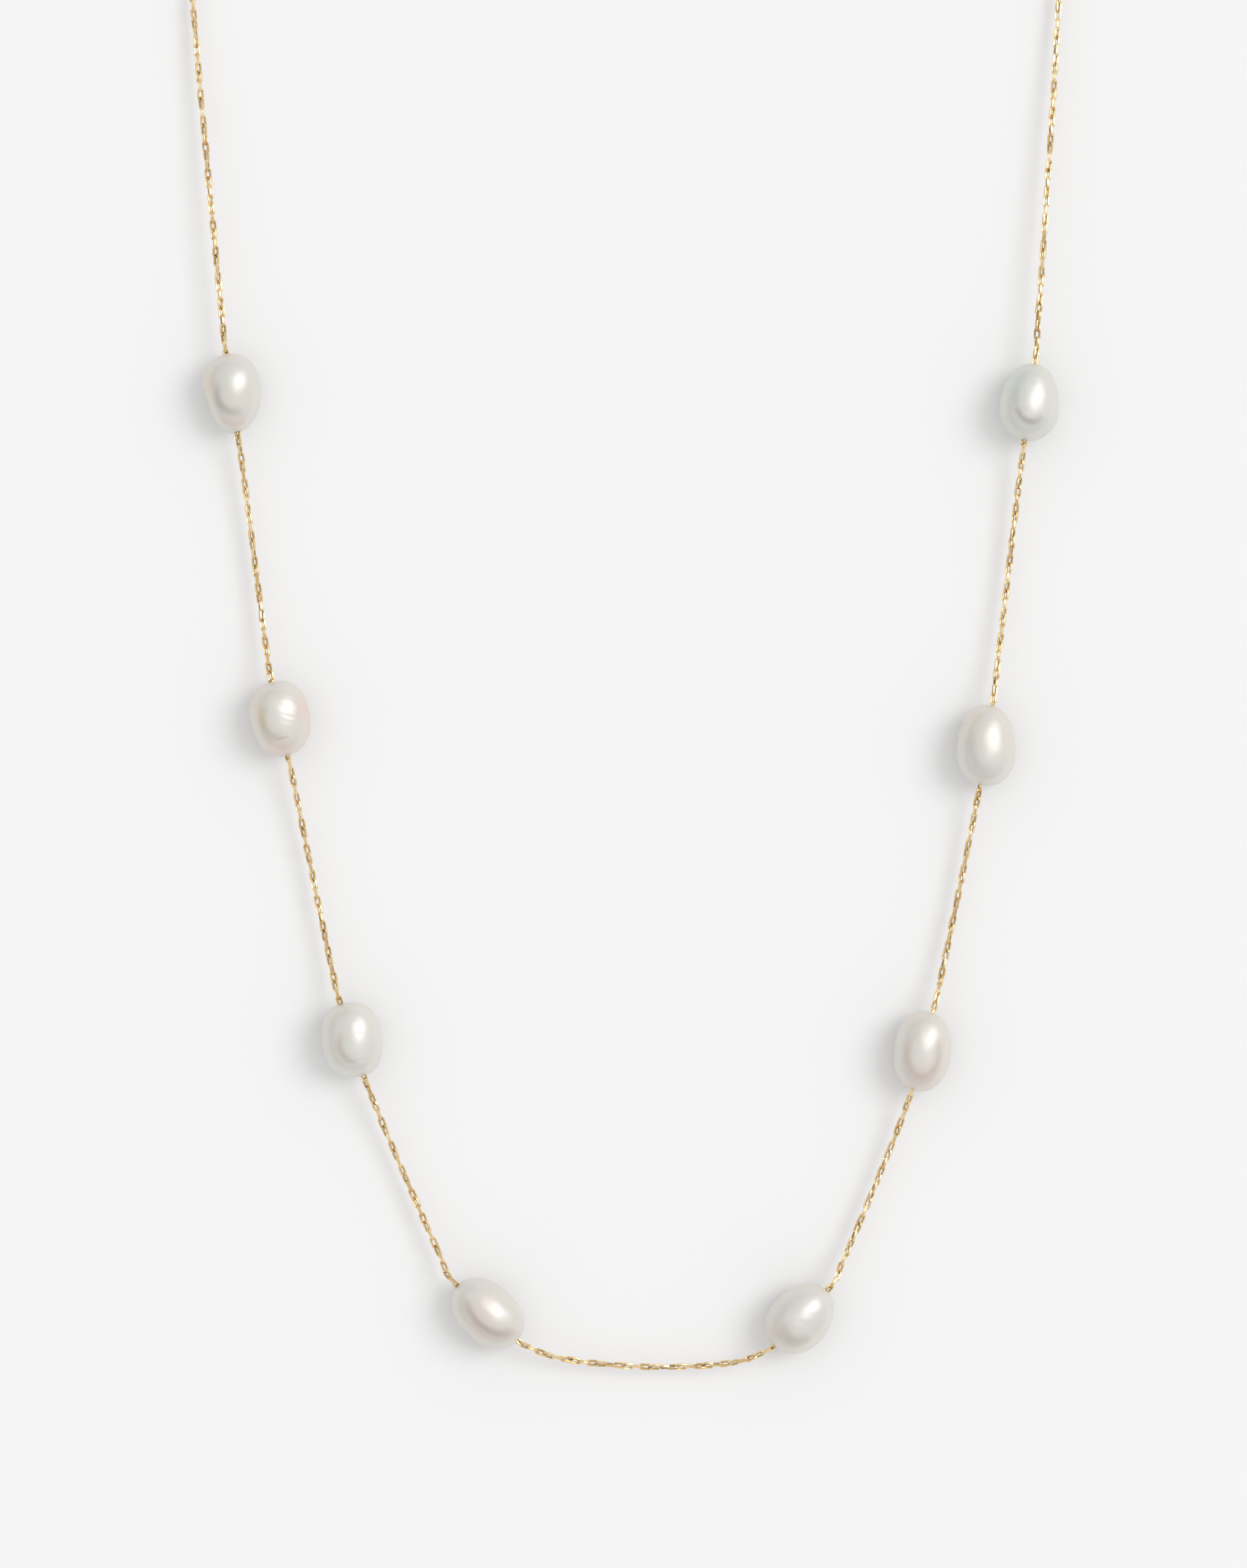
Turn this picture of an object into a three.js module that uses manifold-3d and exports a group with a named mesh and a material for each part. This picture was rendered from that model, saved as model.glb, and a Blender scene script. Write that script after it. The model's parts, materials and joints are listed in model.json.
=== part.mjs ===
import * as THREE from 'three';
import { mergeVertices } from 'three/addons/utils/BufferGeometryUtils.js';
import Module from 'manifold-3d';

// A station necklace: eight baroque pearls fixed at intervals on a fine cable chain, unclasped
// and laid out flat in the curve in which it hangs. Millimetres, +Z up, the table is z = 0.

// ---- driving dimensions ----

// The pearls from the left end to the right end. heading is the direction of the bore in degrees
// from +X, going left to right, and lean turns the pearl's own axis from it. fullness is the
// roundness of the outline (2 is an ellipse) and egg the swelling towards the right end.
const pearls = [
  { length: 9.05, width: 6.6, heading: -81.6, lean: -6, fullness: 2.1, egg: -0.1 },
  { length: 8.6, width: 6.85, heading: -77.7, lean: -7, fullness: 2.25, egg: -0.02 },
  { length: 8.5, width: 6.85, heading: -72.1, lean: -10, fullness: 2.35, egg: 0 },
  { length: 9.2, width: 6.6, heading: -42.4, lean: 0, fullness: 2.15, egg: 0.02 },
  { length: 8.65, width: 6.75, heading: 46.2, lean: 2, fullness: 2.15, egg: -0.05 },
  { length: 9.15, width: 6.5, heading: 74.8, lean: 8, fullness: 2.15, egg: 0.02 },
  { length: 9.25, width: 6.7, heading: 81.1, lean: 8, fullness: 2.15, egg: -0.06 },
  { length: 8.75, width: 6.75, heading: 82.3, lean: 1, fullness: 2.15, egg: -0.09 },
];

// The chain between two pearls, from hole mouth to hole mouth: straight distance, its direction,
// and how far the chain takes to turn out of each hole.
const runs = [
  { chord: 28.4, heading: -82.2, turnOut: 3, turnIn: 3 },
  { chord: 28.7, heading: -78.0, turnOut: 3, turnIn: 3 },
  { chord: 26.05, heading: -65.9, turnOut: 3, turnIn: 1.4 },
  { chord: 29.0, heading: -1.1, turnOut: 4.6, turnIn: 4.6 },
  { chord: 24.6, heading: 67.0, turnOut: 1.4, turnIn: 3 },
  { chord: 26.2, heading: 78.3, turnOut: 3, turnIn: 3 },
  { chord: 30.2, heading: 83.1, turnOut: 3, turnIn: 3 },
];

const chainDiameter = 0.74;      // over the links
const chainSides = 8;
const maxBend = 60;              // largest bend at one hinge, degrees
const hingeSlack = 0.08;         // left between two chain pieces at the largest bend
const runSag = 1.25;             // how far a run hangs below the bores at its middle
const ringSpacing = 3.2;         // between the sections of a chain tube

const chainClearance = 0.04;     // between chain and sleeve
const sleeveWall = 0.06;
const sleeveClearance = 0.03;    // between sleeve and the hole drilled in the pearl
const sleeveInset = 0.25;        // end of the sleeve inside the mouth of the hole
const seatGap = 0.04;            // between a rivet head and its cheek
const linkGap = 0.08;            // between the chain's end and its end link
const hangGap = 0.2;             // between a jump ring and the ring that hangs in it
const mouthReach = 0.5;          // from the mouth of a hole to the first hinge of the chain

const backLength = 96;           // chain from the outer pearls to the ends
const backHeading = { left: 84.3, right: 85.9 };   // lean of the back chain at the pearl, degrees
const backTurn = 12;             // how much the back chain turns inwards, degrees
const backFirst = 21;            // from the outer pearl to the first hinge of the back chain
const backPieces = 3;            // chain pieces beyond that hinge
const backShape = { chord: 0.25, leave: 0.5, arrive: 0.25 };   // share of the turn, then of the length
const backLanding = { from: -0.15, to: 0.72 };   // shares of it in which it comes down to the table
const backLifting = { from: 0.9, to: 1.02 };     // and rises to its ring

// Sides and steps of the round forms, and the steps of the searches along a pearl's outline.
const facets = {
  pearlAlong: 14, pearlAround: 20, bore: 12, ringWire: 7, ringTurn: 20,
  eye: 24, claw: 20, lever: 14, tip: 64, pin: 12,
};
const profileSamples = 60;
const halvings = 40;
const tangentStep = 0.02;

const endLinkRadius = 0.6;       // mean radius
const endLinkWire = 0.4;
const jumpRingRadius = 1.2;
const jumpRingWire = 0.5;
const catchRingRadius = 2.05;
const catchRingWire = 0.7;
const tableClearance = 0.05;     // under the jump rings

const claspEye = { radius: 0.9, wall: 0.7, thickness: 0.9 };
const claspLength = 8.6;         // of the claw, without its eye
const claspWidth = 4.8;
const claspThickness = 2.1;
const claspSpine = 0.95;         // wall of the claw at its back
const claspNose = 0.9;           // wall of the claw at its nose
const claspHeel = 2.0;           // solid end of the claw that holds the pivot
const claspBevel = 0.22;
const gateFrom = 48;             // the gap that the lever closes, degrees round the claw
const gateTo = 140;
const gateSlant = 9;             // the nose reaches this much further at its outer edge, degrees
const gateGap = 0.12;            // left at the lever's tip
const eyeOverlap = 0.15;         // how far the claw's heel runs into its eye
const innerLag = 15;             // the heel's end face slants inwards by this many degrees
const leverRoot = 7;             // the lever's arm runs on into the slot by this many degrees
const leverThickness = 0.8;
const leverClearance = 0.1;      // each side of the lever in its slot
const pivotInset = 1.4;          // pivot from the claw's heel
const pivotOffset = 0.35;        // pivot from the claw's centre line, towards the lever
const pivotDiameter = 0.56;
const pivotClearance = 0.06;
const rootRadius = 0.7;          // lever's boss round the pivot
const rivetHeadDiameter = 1.0;
const rivetHeadHeight = 0.16;
const rivetCrown = 0.6;          // flat top of a rivet head over its diameter
const tabReach = 3.1;            // thumb tab, from the pivot
const tabWidth = 0.7;
const tabLean = 15;              // degrees forward
const springThickness = 0.1;
const springWidth = 0.6;
const springLength = 1.1;

// ---- finishes ----

const gold = { color: 0xe2bf7d, roughness: 0.25, metalness: 1 };
const springSteel = { color: 0xb9b4a8, roughness: 0.35, metalness: 1 };
const nacreTints = [0xdfddd0, 0xe0d8d2, 0xd6d6c8, 0xd9cfcb, 0xe3ddcf, 0xe2dad2, 0xe0d5d1, 0xdbdcd0];

// ---- shared values ----

const up = new THREE.Vector3(0, 0, 1);
const chainRadius = chainDiameter / 2;
const boreRadius = chainRadius + chainClearance + sleeveWall + sleeveClearance;
const hingeGap = 2 * chainRadius * Math.tan(THREE.MathUtils.degToRad(maxBend / 2)) + hingeSlack;
const ringHeight = jumpRingRadius + jumpRingWire / 2 + tableClearance;
const chainOnTable = chainRadius + tableClearance;

const assembly = new THREE.Group();
const hinges = [];

function addPiece(name, geometry, look, parent = assembly) {
  const mesh = new THREE.Mesh(geometry, new THREE.MeshStandardMaterial(look));
  mesh.name = name;
  parent.add(mesh);
  return mesh;
}

function direction(degrees) {
  const angle = THREE.MathUtils.degToRad(degrees);
  return new THREE.Vector3(Math.cos(angle), Math.sin(angle), 0);
}

// ---- solids by boolean ----

const wasm = await Module();
wasm.setup();

function toSolid(geometry) {
  const bare = geometry.clone();
  bare.deleteAttribute('normal');
  bare.deleteAttribute('uv');
  const merged = mergeVertices(bare, 1e-5);
  return new wasm.Manifold(new wasm.Mesh({
    numProp: 3,
    vertProperties: new Float32Array(merged.attributes.position.array),
    triVerts: new Uint32Array(merged.index.array),
  }));
}

function toGeometry(solid) {
  const mesh = solid.getMesh();
  const geometry = new THREE.BufferGeometry();
  geometry.setAttribute('position', new THREE.BufferAttribute(new Float32Array(mesh.vertProperties), 3));
  geometry.setIndex(Array.from(mesh.triVerts));
  geometry.computeVertexNormals();
  return geometry;
}

// ---- route of the strand ----

// A free run of chain: a curve in plan, dropping in height to a sag at its middle.
class RunCurve extends THREE.Curve {
  constructor(start, startTurn, end, endTurn, sag) {
    super();
    this.plan = new THREE.CubicBezierCurve3(start, startTurn, endTurn, end);
    this.sag = sag;
  }

  getPoint(t, target = new THREE.Vector3()) {
    this.plan.getPoint(t, target);
    target.z -= 4 * this.sag * t * (1 - t);
    return target;
  }
}

// The chain behind an outer pearl: it comes down onto the table, lies on it and rises to the ring.
class BackCurve extends THREE.Curve {
  constructor(start, startTurn, end, endTurn, fromHeight) {
    super();
    this.plan = new THREE.CubicBezierCurve3(start, startTurn, endTurn, end);
    this.fromHeight = fromHeight;
  }

  getPoint(t, target = new THREE.Vector3()) {
    this.plan.getPoint(t, target);
    const landed = THREE.MathUtils.smootherstep(t, backLanding.from, backLanding.to);
    const lifted = THREE.MathUtils.smootherstep(t, backLifting.from, backLifting.to);
    const low = THREE.MathUtils.lerp(this.fromHeight, chainOnTable, landed);
    target.z = THREE.MathUtils.lerp(low, ringHeight, lifted);
    return target;
  }
}

// Radius of a pearl about its own axis, before and after it is brought to its width.
function roundness(pearl, along) {
  const share = Math.min(1, Math.abs((2 * along) / pearl.length));
  const round = (1 - share ** pearl.fullness) ** (1 / pearl.fullness);
  return round * (1 + pearl.egg * Math.sin((Math.PI * along) / pearl.length));
}

function radiusAt(pearl, along) {
  let widest = 0;
  for (let i = 0; i <= profileSamples; i += 1) {
    widest = Math.max(widest, roundness(pearl, pearl.length * (i / profileSamples - 0.5)));
  }
  return ((pearl.width / 2) * roundness(pearl, along)) / widest;
}

// Distance from a pearl's centre to its surface along the bore, towards its right or left end.
function boreReach(pearl, towards) {
  const lean = THREE.MathUtils.degToRad(pearl.lean);
  let inside = 0;
  let outside = pearl.length;
  for (let i = 0; i < halvings; i += 1) {
    const middle = (inside + outside) / 2;
    const along = towards * middle * Math.cos(lean);
    const within = Math.abs(middle * Math.sin(lean)) < radiusAt(pearl, along);
    const short = middle * Math.cos(lean) < pearl.length / 2;
    if (within && short) {
      inside = middle;
    } else {
      outside = middle;
    }
  }
  return inside;
}

// Hole mouths, walking from the left end to the right end.
function walkPearls() {
  const mouths = [];
  const cursor = new THREE.Vector3();
  pearls.forEach((pearl, i) => {
    const axis = direction(pearl.heading);
    const height = pearl.width / 2;
    const first = cursor.clone().setZ(height);
    const centre = first.clone().addScaledVector(axis, boreReach(pearl, -1));
    const last = centre.clone().addScaledVector(axis, boreReach(pearl, 1));
    mouths.push({ first, centre, last, axis, height });
    cursor.copy(last);
    if (i < runs.length) {
      cursor.addScaledVector(direction(runs[i].heading), runs[i].chord);
    }
  });
  return mouths;
}

const mouths = walkPearls();

function backCurve(mouth, point, outward, lean, turn) {
  const leave = direction(lean);
  const arrive = direction(lean + turn);
  const chord = direction(lean + turn * backShape.chord);
  const start = point.clone().addScaledVector(outward, mouthReach);
  const end = start.clone().addScaledVector(chord, backLength);
  const startTurn = start.clone().addScaledVector(leave, backLength * backShape.leave);
  const endTurn = end.clone().addScaledVector(arrive, -backLength * backShape.arrive);
  return new BackCurve(start, startTurn, end, endTurn, mouth.height);
}

// The right back chain runs from pearl to end; the left one is turned round to run end to pearl.
class Reversed extends THREE.Curve {
  constructor(curve) {
    super();
    this.curve = curve;
  }

  getPoint(t, target = new THREE.Vector3()) {
    return this.curve.getPoint(1 - t, target);
  }
}

const strand = new THREE.CurvePath();
const stations = [];             // arc length at the mouths of each pearl
let walked = 0;

function addStretch(curve) {
  strand.add(curve);
  walked += curve.getLength();
}

const firstMouth = mouths[0];
const lastMouth = mouths[mouths.length - 1];
const outwardLeft = firstMouth.axis.clone().negate();
addStretch(new Reversed(backCurve(firstMouth, firstMouth.first, outwardLeft,
  180 - backHeading.left, -backTurn)));
mouths.forEach((mouth, i) => {
  const entry = mouth.first.clone().addScaledVector(mouth.axis, -mouthReach);
  const exit = mouth.last.clone().addScaledVector(mouth.axis, mouthReach);
  const from = walked + mouthReach;
  addStretch(new THREE.LineCurve3(entry, exit));
  stations.push({ first: from, last: walked - mouthReach });
  if (i < runs.length) {
    const next = mouths[i + 1];
    const arrive = next.first.clone().addScaledVector(next.axis, -mouthReach);
    addStretch(new RunCurve(
      exit,
      exit.clone().addScaledVector(mouth.axis, runs[i].turnOut),
      arrive,
      arrive.clone().addScaledVector(next.axis, -runs[i].turnIn),
      runSag,
    ));
  }
});
addStretch(backCurve(lastMouth, lastMouth.last, lastMouth.axis, backHeading.right, backTurn));
const strandLength = strand.getLength();

function strandPoint(distance) {
  return strand.getPoint(THREE.MathUtils.clamp(distance / strandLength, 0, 1));
}

function strandTangent(distance) {
  const ahead = strandPoint(Math.min(distance + tangentStep, strandLength));
  return ahead.sub(strandPoint(Math.max(distance - tangentStep, 0))).normalize();
}

// A stretch of the strand whose sections stand at chosen distances.
class StretchPath extends THREE.Curve {
  constructor(distances) {
    super();
    this.distances = distances;
  }

  distanceAt(u) {
    return this.distances[Math.round(u * (this.distances.length - 1))];
  }

  getPointAt(u, target = new THREE.Vector3()) {
    return target.copy(strandPoint(this.distanceAt(u)));
  }

  getTangentAt(u, target = new THREE.Vector3()) {
    return target.copy(strandTangent(this.distanceAt(u)));
  }
}

// ---- chain ----

function polygon(sides, radius) {
  const corners = Array.from({ length: sides }, (unused, i) => {
    const angle = (2 * Math.PI * i) / sides;
    return new THREE.Vector2(radius * Math.cos(angle), radius * Math.sin(angle));
  });
  return new THREE.Shape(corners);
}

// Sections between two distances, with extra ones where the bend out of a hole is sharp.
function sectionsBetween(from, to) {
  const marks = [from, to];
  for (const station of stations) {
    marks.push(station.first - mouthReach, station.last + mouthReach);
  }
  const inside = marks.filter((mark) => mark >= from && mark <= to).sort((a, b) => a - b);
  const distances = [inside[0]];
  for (const mark of inside.slice(1)) {
    const last = distances[distances.length - 1];
    const throughPearl = stations.some((station) => last < station.first && mark > station.last);
    const count = throughPearl ? 1 : Math.max(1, Math.ceil((mark - last) / ringSpacing));
    for (let i = 1; i <= count; i += 1) {
      distances.push(THREE.MathUtils.lerp(last, mark, i / count));
    }
  }
  return distances;
}

function chainPiece(name, from, to) {
  const distances = sectionsBetween(from, to);
  const geometry = new THREE.ExtrudeGeometry(polygon(chainSides, chainRadius), {
    steps: distances.length - 1,
    bevelEnabled: false,
    extrudePath: new StretchPath(distances),
  });
  return addPiece(name, geometry, gold);
}

function noteHinge(name, distance, kind, sign) {
  const along = strandTangent(distance);
  const across = new THREE.Vector3().crossVectors(up, along).normalize();
  const axis = kind === 'plan' ? up.clone() : across;
  hinges.push({ name, kind, at: strandPoint(distance), axis: axis.multiplyScalar(sign) });
}

// Hinges of one leg, from the bottom run outwards: one beside the inner mouth of every pearl and
// one in the middle of every run, then those of the back chain.
function legHinges(side) {
  const order = side === 'left' ? [3, 2, 1, 0] : [4, 5, 6, 7];
  const outward = side === 'left' ? -1 : 1;
  const distances = [];
  order.forEach((index, i) => {
    const station = stations[index];
    const inner = side === 'left' ? station.last : station.first;
    const outer = side === 'left' ? station.first : station.last;
    distances.push(inner - outward * mouthReach);
    const next = stations[order[i + 1]];
    if (next) {
      const nextInner = side === 'left' ? next.last : next.first;
      distances.push((outer + nextInner) / 2);
    } else {
      distances.push(outer + outward * backFirst);
    }
  });
  const end = side === 'left' ? 0 : strandLength;
  const last = distances[distances.length - 1];
  for (let i = 1; i < backPieces; i += 1) {
    distances.push(last + ((end - last) * i) / backPieces);
  }
  return { distances, end };
}

// Two hinges that bend the strand in plan and in height follow one another, and each kind changes
// its sense from one to the next, so the strand folds in a zigzag when every hinge is bent.
function buildLeg(side) {
  const { distances, end } = legHinges(side);
  distances.forEach((distance, i) => {
    const next = i + 1 < distances.length ? distances[i + 1] : end;
    const outward = Math.sign(next - distance);
    const from = distance + (outward * hingeGap) / 2;
    const to = next === end ? end : next - (outward * hingeGap) / 2;
    chainPiece(`chain_${side}_${i + 1}`, Math.min(from, to), Math.max(from, to));
    const kind = i % 2 === 0 ? 'plan' : 'height';
    const sign = Math.floor(i / 2) % 2 === 0 ? 1 : -1;
    noteHinge(`${side}_${i + 1}_bend`, distance, kind, sign);
  });
  return distances[0];
}

const leftFirst = buildLeg('left');
const rightFirst = buildLeg('right');
chainPiece('chain_bottom', leftFirst + hingeGap / 2, rightFirst - hingeGap / 2);

// ---- pearls ----

// A pearl turned about its own axis and drilled along its bore. The bore runs along y.
function drilledPearl(pearl) {
  const steps = facets.pearlAlong;
  const outline = [];
  for (let i = 0; i <= steps; i += 1) {
    const along = (-pearl.length / 2) * Math.cos((Math.PI * i) / steps);
    const radius = i === 0 || i === steps ? 0 : radiusAt(pearl, along);
    outline.push(new THREE.Vector2(radius, along));
  }
  const whole = new THREE.LatheGeometry(outline, facets.pearlAround);
  whole.rotateZ(THREE.MathUtils.degToRad(pearl.lean));
  const drill = new THREE.CylinderGeometry(boreRadius, boreRadius, 2 * pearl.length, facets.bore);
  return toGeometry(toSolid(whole).subtract(toSolid(drill)));
}

// Sleeve that holds the chain in a pearl: a thin tube just shorter than the bore.
function sleeveGeometry(pearl) {
  const outer = boreRadius - sleeveClearance;
  const inner = outer - sleeveWall;
  const low = -boreReach(pearl, -1) + sleeveInset;
  const high = boreReach(pearl, 1) - sleeveInset;
  const corners = [[inner, low], [outer, low], [outer, high], [inner, high], [inner, low]];
  const profile = corners.map(([radius, y]) => new THREE.Vector2(radius, y));
  return new THREE.LatheGeometry(profile, facets.bore);
}

pearls.forEach((pearl, i) => {
  const station = new THREE.Group();
  station.position.copy(mouths[i].centre);
  station.quaternion.setFromUnitVectors(new THREE.Vector3(0, 1, 0), mouths[i].axis);
  assembly.add(station);
  const nacre = { color: nacreTints[i], roughness: 0.28, metalness: 0 };
  addPiece(`pearl_${i + 1}`, drilledPearl(pearl), nacre, station);
  addPiece(`sleeve_${i + 1}`, sleeveGeometry(pearl), gold, station);
});

// ---- rings at the ends ----

function ring(name, radius, wire, parent, upright = false) {
  const geometry = new THREE.TorusGeometry(radius, wire / 2, facets.ringWire, facets.ringTurn);
  if (upright) {
    geometry.rotateX(Math.PI / 2);
  }
  return addPiece(name, geometry, gold, parent);
}

// A frame at an end of the chain: x runs on outwards along the chain, z is up.
function endFrame(side) {
  const distance = side === 'left' ? 0 : strandLength;
  const along = strandTangent(distance).multiplyScalar(side === 'left' ? -1 : 1);
  const frame = new THREE.Group();
  frame.position.copy(strandPoint(distance));
  frame.rotation.z = Math.atan2(along.y, along.x);
  assembly.add(frame);
  return frame;
}

const linkCentre = endLinkRadius + endLinkWire / 2 + linkGap;
const ringCentre = linkCentre + jumpRingRadius;

function endRings(side) {
  const frame = endFrame(side);
  const link = ring(`end_link_${side}`, endLinkRadius, endLinkWire, frame);
  link.position.x = linkCentre;
  const jump = ring(`jump_ring_${side}`, jumpRingRadius, jumpRingWire, frame, true);
  jump.position.x = ringCentre;
  frame.updateMatrixWorld(true);
  const across = new THREE.Vector3(0, 1, 0).applyQuaternion(frame.quaternion);
  const toWorld = (x) => frame.localToWorld(new THREE.Vector3(x, 0, 0));
  hinges.push({ name: `${side}_ring_swing`, kind: 'plan', at: toWorld(linkCentre), axis: up.clone() });
  return { frame, across, toWorld };
}

// What hangs on a jump ring turns about the ring's own axis, tipped until its far end is down.
function hangOnRing(end, tilt) {
  const holder = new THREE.Group();
  holder.position.x = ringCentre;
  holder.rotation.y = tilt;
  end.frame.add(holder);
  return holder;
}

const rightEnd = endRings('right');
const catchReach = jumpRingRadius - jumpRingWire / 2 - hangGap - catchRingWire / 2;
const catchFar = catchReach + 2 * catchRingRadius;
const catchTilt = Math.asin((ringHeight - catchRingWire / 2 - tableClearance) / catchFar);
const catchHolder = hangOnRing(rightEnd, catchTilt);
ring('catch_ring', catchRingRadius, catchRingWire, catchHolder).position.x = catchReach + catchRingRadius;
hinges.push({
  name: 'catch_ring_swing', kind: 'height', at: rightEnd.toWorld(ringCentre), axis: rightEnd.across,
});

// ---- clasp ----

// Claw frame: origin at the centre of the eye, x to the nose, y to the lever's side, z through it.
const heelStart = claspEye.radius + claspEye.wall / 2 - eyeOverlap;
const outerClaw = { x: heelStart + claspLength / 2, rx: claspLength / 2, ry: claspWidth / 2 };
const innerClaw = {
  x: heelStart + (claspHeel + claspLength - claspNose) / 2,
  rx: (claspLength - claspHeel - claspNose) / 2,
  ry: claspWidth / 2 - claspSpine,
};
const pivot = { x: heelStart + pivotInset, y: pivotOffset };
const slotRear = rootRadius + springThickness + 2 * leverClearance;   // from pivot to back of slot

function arc(path, oval, fromDegrees, toDegrees, inset = 0) {
  const from = THREE.MathUtils.degToRad(fromDegrees);
  const to = THREE.MathUtils.degToRad(toDegrees);
  path.absellipse(oval.x, 0, oval.rx - inset, oval.ry - inset, from, to, toDegrees < fromDegrees);
}

// Distance from the pivot to a place on an oval, which is drawn larger by grow.
function fromPivot(oval, degrees, grow) {
  const angle = THREE.MathUtils.degToRad(degrees);
  const x = oval.x + (oval.rx + grow) * Math.cos(angle) - pivot.x;
  const y = (oval.ry + grow) * Math.sin(angle) - pivot.y;
  return Math.hypot(x, y);
}

function clawSolid() {
  const outline = new THREE.Shape();
  arc(outline, outerClaw, gateTo, gateFrom + gateSlant + 360, claspBevel);
  arc(outline, innerClaw, gateFrom + 360, gateTo + innerLag, -claspBevel);
  const depth = claspThickness - 2 * claspBevel;
  const geometry = new THREE.ExtrudeGeometry(outline, {
    depth,
    curveSegments: facets.claw,
    bevelThickness: claspBevel,
    bevelSize: claspBevel,
    bevelSegments: 1,
  });
  geometry.translate(0, 0, -depth / 2);
  return toSolid(geometry);
}

function eyeSolid() {
  const inner = claspEye.radius - claspEye.wall / 2;
  const outer = claspEye.radius + claspEye.wall / 2;
  const half = claspEye.thickness / 2;
  const profile = [[inner, -half], [outer, -half], [outer, half], [inner, half], [inner, -half]];
  const points = profile.map(([radius, along]) => new THREE.Vector2(radius, along));
  const geometry = new THREE.LatheGeometry(points, facets.eye);
  geometry.rotateX(Math.PI / 2);
  return toSolid(geometry);
}

function pivotBar(diameter, length) {
  const geometry = new THREE.CylinderGeometry(diameter / 2, diameter / 2, length, facets.pin);
  geometry.rotateX(Math.PI / 2);
  geometry.translate(pivot.x, pivot.y, 0);
  return geometry;
}

function buildClaw(parent) {
  const slotHeight = leverThickness + 2 * leverClearance;
  const slotFront = pivot.x + tabReach * Math.sin(THREE.MathUtils.degToRad(tabLean)) + tabWidth / 2;
  const slotBack = pivot.x - slotRear;
  const slot = new THREE.BoxGeometry(slotFront - slotBack, 2 * claspWidth, slotHeight);
  slot.translate((slotFront + slotBack) / 2, 0, 0);
  const hole = pivotBar(pivotDiameter + 2 * pivotClearance, 2 * claspThickness);
  const solid = clawSolid().add(eyeSolid()).subtract(toSolid(slot)).subtract(toSolid(hole));
  addPiece('clasp_claw', toGeometry(solid), gold, parent);
}

// The lever's tip is part of a cylinder round the pivot, so that it swings in past the nose.
function tipCutter() {
  const nose = Math.min(
    fromPivot(innerClaw, gateFrom, claspBevel),
    fromPivot(outerClaw, gateFrom + gateSlant, -claspBevel),
  );
  const reach = nose - claspBevel - gateGap;
  const geometry = new THREE.CylinderGeometry(reach, reach, claspThickness, facets.tip);
  geometry.rotateX(Math.PI / 2);
  geometry.translate(pivot.x, pivot.y, 0);
  return toSolid(geometry);
}

function leverSolid() {
  const arm = new THREE.Shape();
  arc(arm, outerClaw, gateFrom, gateTo + leverRoot);
  arc(arm, innerClaw, gateTo + innerLag + leverRoot, gateFrom);
  const boss = new THREE.Shape();
  boss.absarc(pivot.x, pivot.y, rootRadius, 0, 2 * Math.PI);
  const lean = THREE.MathUtils.degToRad(tabLean);
  const reach = new THREE.Vector2(Math.sin(lean), -Math.cos(lean));
  const side = new THREE.Vector2(Math.cos(lean), Math.sin(lean)).multiplyScalar(tabWidth / 2);
  const start = new THREE.Vector2(pivot.x, pivot.y);
  const tip = start.clone().addScaledVector(reach, tabReach);
  const tab = new THREE.Shape([
    start.clone().sub(side), tip.clone().sub(side), tip.clone().add(side), start.clone().add(side),
  ]);
  const solids = [arm, boss, tab].map((shape) => {
    const geometry = new THREE.ExtrudeGeometry(shape, {
      depth: leverThickness, bevelEnabled: false, curveSegments: facets.lever,
    });
    geometry.translate(0, 0, -leverThickness / 2);
    return toSolid(geometry);
  });
  return solids[0].intersect(tipCutter()).add(solids[1]).add(solids[2]);
}

function buildLever(parent) {
  const hole = pivotBar(pivotDiameter + 2 * pivotClearance, claspThickness);
  addPiece('clasp_lever', toGeometry(leverSolid().subtract(toSolid(hole))), gold, parent);
}

function buildRivet(parent) {
  const shaft = pivotDiameter / 2;
  const head = rivetHeadDiameter / 2;
  const seat = claspThickness / 2 + seatGap;
  const top = seat + rivetHeadHeight;
  const profile = [
    [0, -top], [head * rivetCrown, -top], [head, -seat], [shaft, -seat],
    [shaft, seat], [head, seat], [head * rivetCrown, top], [0, top],
  ];
  const points = profile.map(([radius, along]) => new THREE.Vector2(radius, along));
  const geometry = new THREE.LatheGeometry(points, facets.pin);
  geometry.rotateX(Math.PI / 2);
  addPiece('clasp_rivet', geometry, gold, parent).position.set(pivot.x, pivot.y, 0);
}

function buildSpring(parent) {
  const geometry = new THREE.BoxGeometry(springThickness, springLength, springWidth);
  const leaf = addPiece('clasp_spring', geometry, springSteel, parent);
  leaf.position.set(pivot.x - rootRadius - leverClearance - springThickness / 2, pivot.y, 0);
}

const leftEnd = endRings('left');
const eyeReach = jumpRingRadius;
const claspDrop = ringHeight - claspThickness / 2 - tableClearance;
const claspTilt = Math.asin(claspDrop / (eyeReach + heelStart + claspLength));
const claspHolder = hangOnRing(leftEnd, claspTilt);
const claw = new THREE.Group();
claw.position.x = eyeReach;
claspHolder.add(claw);
buildClaw(claw);
buildLever(claw);
buildRivet(claw);
buildSpring(claw);
claspHolder.updateMatrixWorld(true);
hinges.push({
  name: 'clasp_swing', kind: 'height', at: leftEnd.toWorld(ringCentre), axis: leftEnd.across,
});
hinges.push({
  name: 'lever_turn',
  kind: 'plan',
  at: claw.localToWorld(new THREE.Vector3(pivot.x, pivot.y, 0)),
  axis: new THREE.Vector3(0, 0, -1).transformDirection(claw.matrixWorld),
});

// ---- origin: middle of the outline, on the table ----

assembly.updateMatrixWorld(true);
const outline = new THREE.Box3().setFromObject(assembly, true);
const middle = outline.getCenter(new THREE.Vector3());
assembly.position.set(-middle.x, -middle.y, -outline.min.z);

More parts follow.
